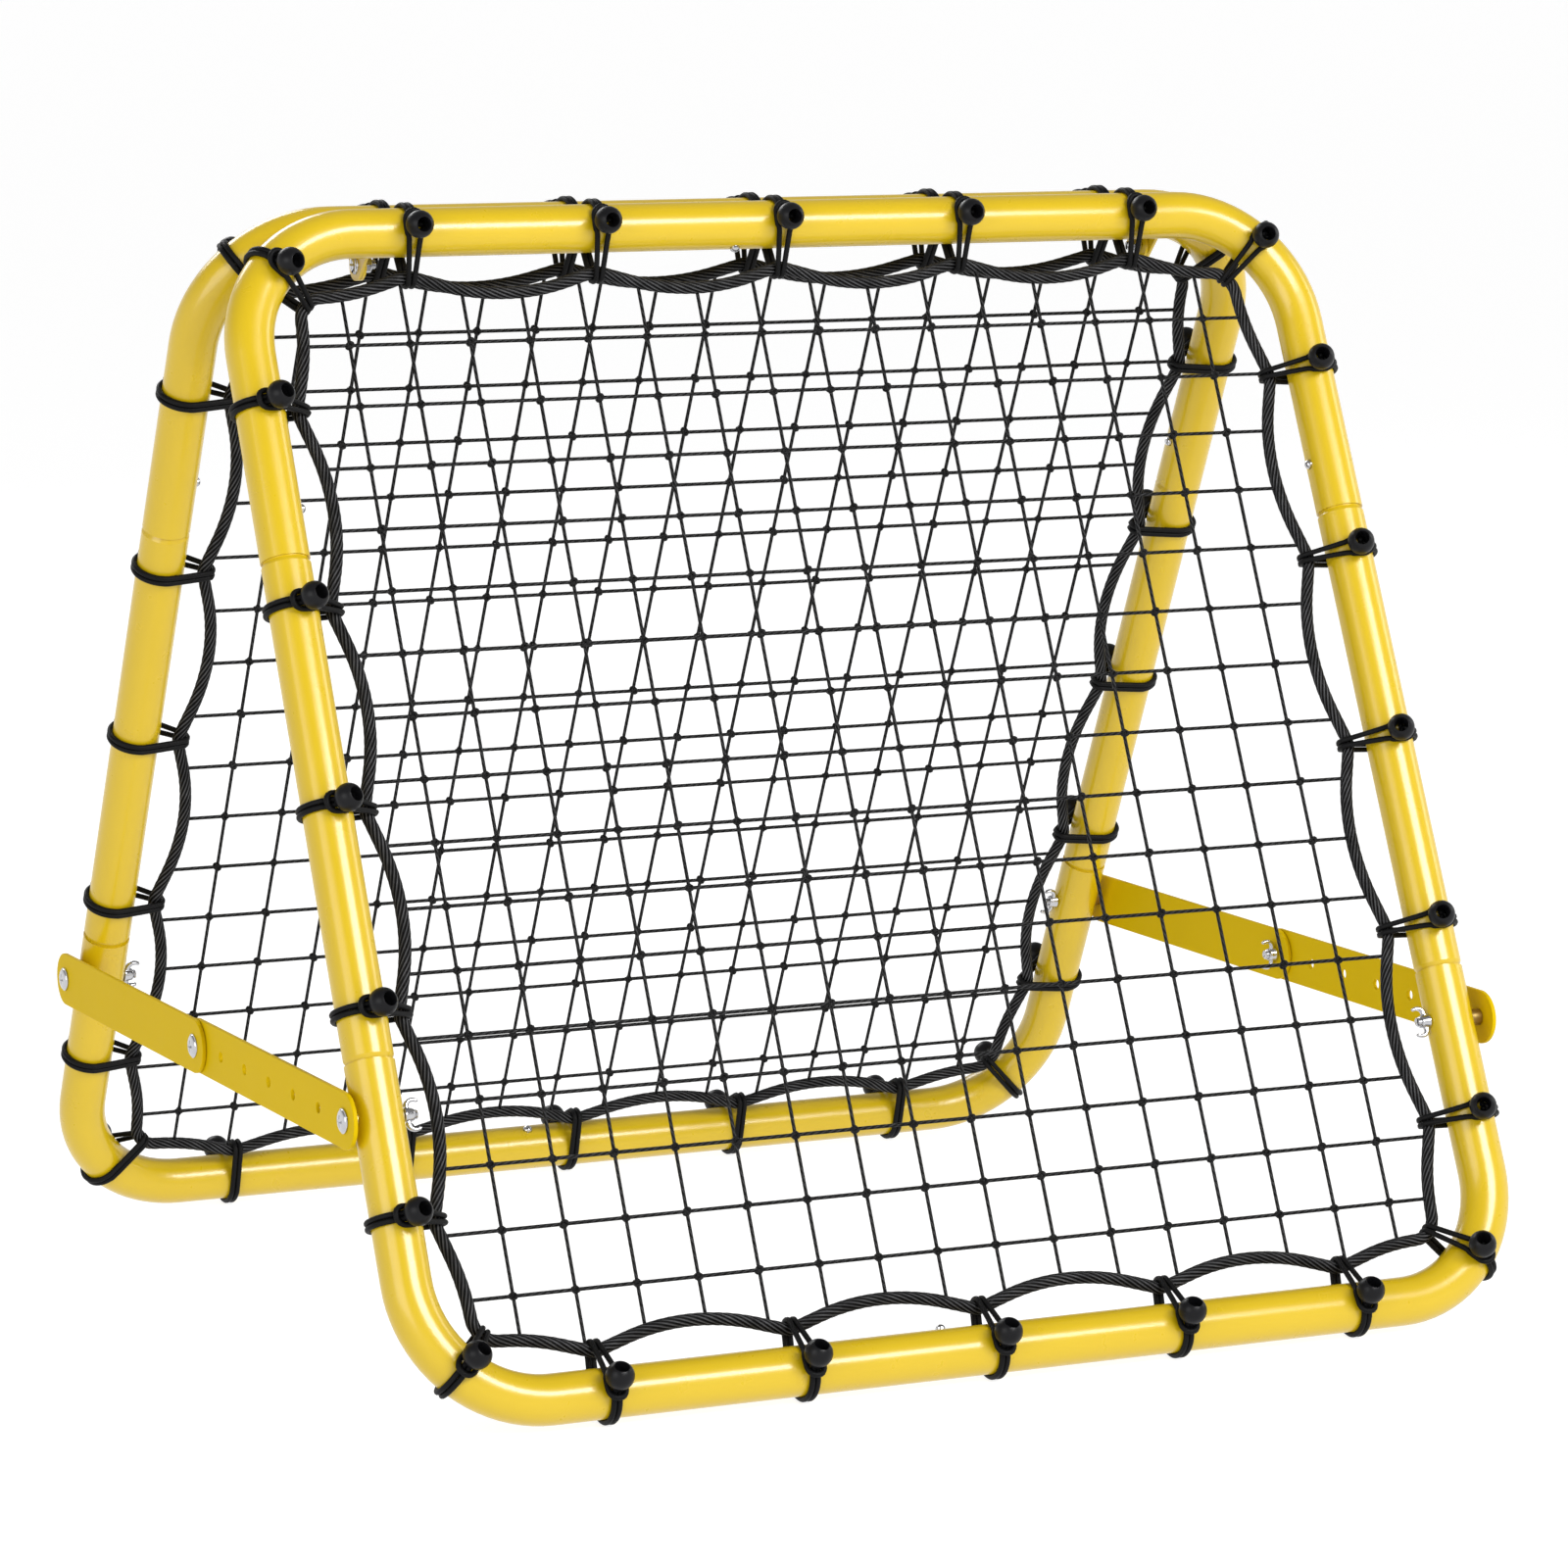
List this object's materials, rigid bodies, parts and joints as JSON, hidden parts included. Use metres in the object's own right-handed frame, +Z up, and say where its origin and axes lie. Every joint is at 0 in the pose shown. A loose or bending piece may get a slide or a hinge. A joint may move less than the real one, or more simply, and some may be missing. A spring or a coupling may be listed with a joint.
{
  "type": "pitch back rebounder",
  "caption": "Two-sided rebounder: tube frames hinged at the top and braced at the sides, each with a net on ball bungees.",
  "frame": {"origin": "centre of the footprint, on the ground", "axes": "+X to the right seen from the front, +Y to the rear, +Z up; the front frame leans back from -Y"},
  "size_m": [1.0328, 0.9418, 0.9195],
  "materials": {
    "yellow_paint": "glossy yellow powder coat",
    "chrome": "bright plated steel fasteners",
    "zinc_steel": "dull zinc plate",
    "spring_steel": "plain spring steel strip",
    "net_cord": "black tarred cord with a slight sheen",
    "border_rope": "black laid rope with a slight sheen",
    "bungee_cord": "black woven cover over an elastic core",
    "bungee_ball": "satin black moulded plastic"
  },
  "bodies": {
    "front_frame": {"front_corner_top_left": "yellow_paint", "front_corner_top_right": "yellow_paint", "front_corner_bottom_left": "yellow_paint", "front_corner_bottom_right": "yellow_paint", "front_leg_left": "yellow_paint", "front_hinge_tab_left": "yellow_paint", "front_leg_bolt_left": "chrome", "front_leg_right": "yellow_paint", "front_hinge_tab_right": "yellow_paint", "front_leg_bolt_right": "chrome", "front_brace_spacers": "zinc_steel", "front_snap_springs": "spring_steel", "front_net": "net_cord", "front_border_rope": "border_rope", "front_bungee_cords": "bungee_cord", "front_bungee_cords_bottom": "bungee_cord", "front_bungee_balls": "bungee_ball", "hinge_bolt_left": "chrome", "hinge_nut_left": "chrome", "hinge_bolt_right": "chrome", "hinge_nut_right": "chrome"},
    "rear_frame": {"rear_corner_top_left": "yellow_paint", "rear_corner_top_right": "yellow_paint", "rear_corner_bottom_left": "yellow_paint", "rear_corner_bottom_right": "yellow_paint", "rear_leg_left": "yellow_paint", "rear_hinge_tab_left": "yellow_paint", "rear_leg_bolt_left": "chrome", "rear_leg_right": "yellow_paint", "rear_hinge_tab_right": "yellow_paint", "rear_leg_bolt_right": "chrome", "rear_brace_spacers": "zinc_steel", "rear_snap_springs": "spring_steel", "rear_net": "net_cord", "rear_border_rope": "border_rope", "rear_bungee_cords": "bungee_cord", "rear_bungee_cords_bottom": "bungee_cord", "rear_bungee_balls": "bungee_ball"},
    "front_bar_left": {"brace_left_front_bar": "yellow_paint", "knee_bolt_left_stud": "chrome"},
    "rear_bar_left": {"brace_left_rear_bar": "yellow_paint", "knee_bolt_left_head": "chrome"},
    "front_bar_right": {"brace_right_front_bar": "yellow_paint", "knee_bolt_right_head": "chrome"},
    "rear_bar_right": {"brace_right_rear_bar": "yellow_paint", "knee_bolt_right_stud": "chrome"},
    "wing_nut_front_left": {"wing_nut_front_left": "chrome"},
    "wing_nut_front_right": {"wing_nut_front_right": "chrome"},
    "wing_nut_rear_left": {"wing_nut_rear_left": "chrome"},
    "wing_nut_rear_right": {"wing_nut_rear_right": "chrome"},
    "wing_nut_knee_left": {"wing_nut_knee_left": "chrome"},
    "wing_nut_knee_right": {"wing_nut_knee_right": "chrome"},
    "front_button_leg_left": {"front_button_leg_left": "chrome"},
    "front_button_leg_right": {"front_button_leg_right": "chrome"},
    "front_button_top": {"front_button_top": "chrome"},
    "front_button_bottom": {"front_button_bottom": "chrome"},
    "rear_button_leg_left": {"rear_button_leg_left": "chrome"},
    "rear_button_leg_right": {"rear_button_leg_right": "chrome"},
    "rear_button_top": {"rear_button_top": "chrome"},
    "rear_button_bottom": {"rear_button_bottom": "chrome"}
  },
  "joints": [
    {"name": "top_hinge", "type": "hinge", "parent": "front_frame", "child": "rear_frame", "pos_m": [0, 0, 0.86828], "axis": [-1, 0, 0], "range_deg": [0, 50]},
    {"name": "front_bar_left_turn", "type": "hinge", "parent": "front_frame", "child": "front_bar_left", "pos_m": [-0.507, -0.33347, 0.23499], "axis": [1, 0, 0], "range_deg": [0, 59.1]},
    {"name": "rear_bar_left_turn", "type": "hinge", "parent": "rear_frame", "child": "rear_bar_left", "pos_m": [-0.507, 0.33347, 0.23499], "axis": [-1, 0, 0], "range_deg": [0, 59.1]},
    {"name": "front_bar_right_turn", "type": "hinge", "parent": "front_frame", "child": "front_bar_right", "pos_m": [0.507, -0.33347, 0.23499], "axis": [1, 0, 0], "range_deg": [0, 59.1]},
    {"name": "rear_bar_right_turn", "type": "hinge", "parent": "rear_frame", "child": "rear_bar_right", "pos_m": [0.507, 0.33347, 0.23499], "axis": [-1, 0, 0], "range_deg": [0, 59.1]},
    {"name": "wing_nut_front_left_turn", "type": "hinge", "parent": "front_frame", "child": "wing_nut_front_left", "pos_m": [-0.4557, -0.33347, 0.23499], "axis": [1, 0, 0], "continuous": true},
    {"name": "wing_nut_front_right_turn", "type": "hinge", "parent": "front_frame", "child": "wing_nut_front_right", "pos_m": [0.4557, -0.33347, 0.23499], "axis": [-1, 0, 0], "continuous": true},
    {"name": "wing_nut_rear_left_turn", "type": "hinge", "parent": "rear_frame", "child": "wing_nut_rear_left", "pos_m": [-0.4557, 0.33347, 0.23499], "axis": [1, 0, 0], "continuous": true},
    {"name": "wing_nut_rear_right_turn", "type": "hinge", "parent": "rear_frame", "child": "wing_nut_rear_right", "pos_m": [0.4557, 0.33347, 0.23499], "axis": [-1, 0, 0], "continuous": true},
    {"name": "wing_nut_knee_left_turn", "type": "hinge", "parent": "front_bar_left", "child": "wing_nut_knee_left", "pos_m": [-0.5008, 0, 0.23499], "axis": [1, 0, 0], "continuous": true},
    {"name": "wing_nut_knee_right_turn", "type": "hinge", "parent": "rear_bar_right", "child": "wing_nut_knee_right", "pos_m": [0.5008, 0, 0.23499], "axis": [-1, 0, 0], "continuous": true},
    {"name": "front_button_leg_left_press", "type": "slide", "parent": "front_frame", "child": "front_button_leg_left", "axis": [-1, 0, 0], "range_m": [0, 0.0056], "stiffness_N_per_m": 1500, "springref_m": -0.003},
    {"name": "front_button_leg_right_press", "type": "slide", "parent": "front_frame", "child": "front_button_leg_right", "axis": [1, 0, 0], "range_m": [0, 0.0056], "stiffness_N_per_m": 1500, "springref_m": -0.003},
    {"name": "front_button_top_press", "type": "slide", "parent": "front_frame", "child": "front_button_top", "axis": [0, 0.4226, 0.9063], "range_m": [0, 0.0056], "stiffness_N_per_m": 1500, "springref_m": -0.003},
    {"name": "front_button_bottom_press", "type": "slide", "parent": "front_frame", "child": "front_button_bottom", "axis": [0, -0.4226, -0.9063], "range_m": [0, 0.0056], "stiffness_N_per_m": 1500, "springref_m": -0.003},
    {"name": "rear_button_leg_left_press", "type": "slide", "parent": "rear_frame", "child": "rear_button_leg_left", "axis": [-1, 0, 0], "range_m": [0, 0.0056], "stiffness_N_per_m": 1500, "springref_m": -0.003},
    {"name": "rear_button_leg_right_press", "type": "slide", "parent": "rear_frame", "child": "rear_button_leg_right", "axis": [1, 0, 0], "range_m": [0, 0.0056], "stiffness_N_per_m": 1500, "springref_m": -0.003},
    {"name": "rear_button_top_press", "type": "slide", "parent": "rear_frame", "child": "rear_button_top", "axis": [0, -0.4226, 0.9063], "range_m": [0, 0.0056], "stiffness_N_per_m": 1500, "springref_m": -0.003},
    {"name": "rear_button_bottom_press", "type": "slide", "parent": "rear_frame", "child": "rear_button_bottom", "axis": [0, 0.4226, -0.9063], "range_m": [0, 0.0056], "stiffness_N_per_m": 1500, "springref_m": -0.003}
  ],
  "couplings": [
    {"joint": "front_bar_left_turn", "follows": "top_hinge", "ratio": 1.1809},
    {"joint": "rear_bar_left_turn", "follows": "top_hinge", "ratio": 1.1809},
    {"joint": "front_bar_right_turn", "follows": "top_hinge", "ratio": 1.1809},
    {"joint": "rear_bar_right_turn", "follows": "top_hinge", "ratio": 1.1809}
  ]
}
